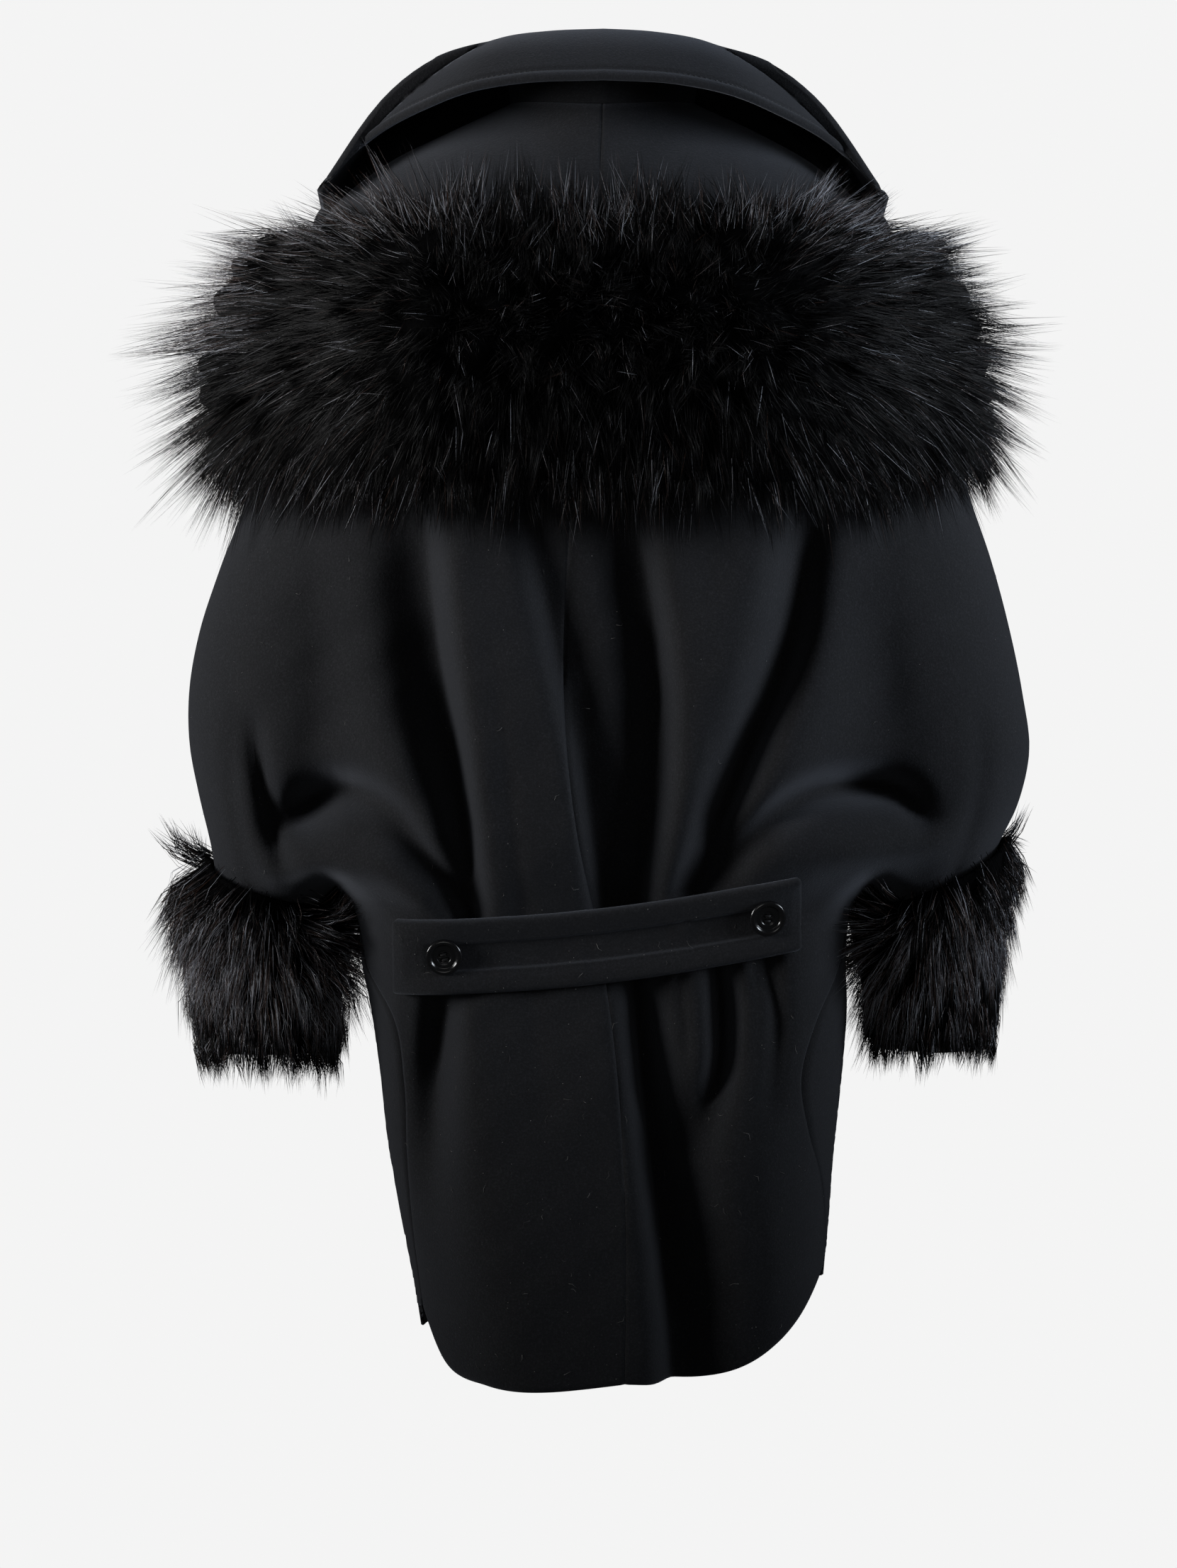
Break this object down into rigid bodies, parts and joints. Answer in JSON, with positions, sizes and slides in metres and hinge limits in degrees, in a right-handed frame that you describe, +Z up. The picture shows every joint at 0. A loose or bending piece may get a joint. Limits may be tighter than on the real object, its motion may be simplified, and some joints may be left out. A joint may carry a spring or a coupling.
{
  "type": "wool coat",
  "caption": "Wide black wool coat with batwing sleeves, a turned-down collar, a fur band round the shoulders, fur cuffs and a half belt at the back, in its worn form.",
  "frame": {"origin": "base of the neck, where the coat rests on its wearer", "axes": "+Z up, from the hem to the neck; +Y out of the back; +X towards the coat's left side"},
  "size_m": [0.6932, 0.46, 1.0269],
  "materials": {
    "black_wool": "matt",
    "black_fur": "satin",
    "black_button": "gloss"
  },
  "bodies": {
    "root": {"back_left": "black_wool", "back_right": "black_wool", "belt": "black_wool", "collar": "black_wool", "front_left": "black_wool", "front_right": "black_wool", "cuff_fur_left": "black_fur", "cuff_fur_right": "black_fur", "fur_band_back": "black_fur", "fur_band_left": "black_fur", "fur_band_right": "black_fur", "belt_button_left": "black_button", "belt_button_right": "black_button", "front_button_1": "black_button", "front_button_2": "black_button", "front_button_3": "black_button"}
  },
  "joints": []
}
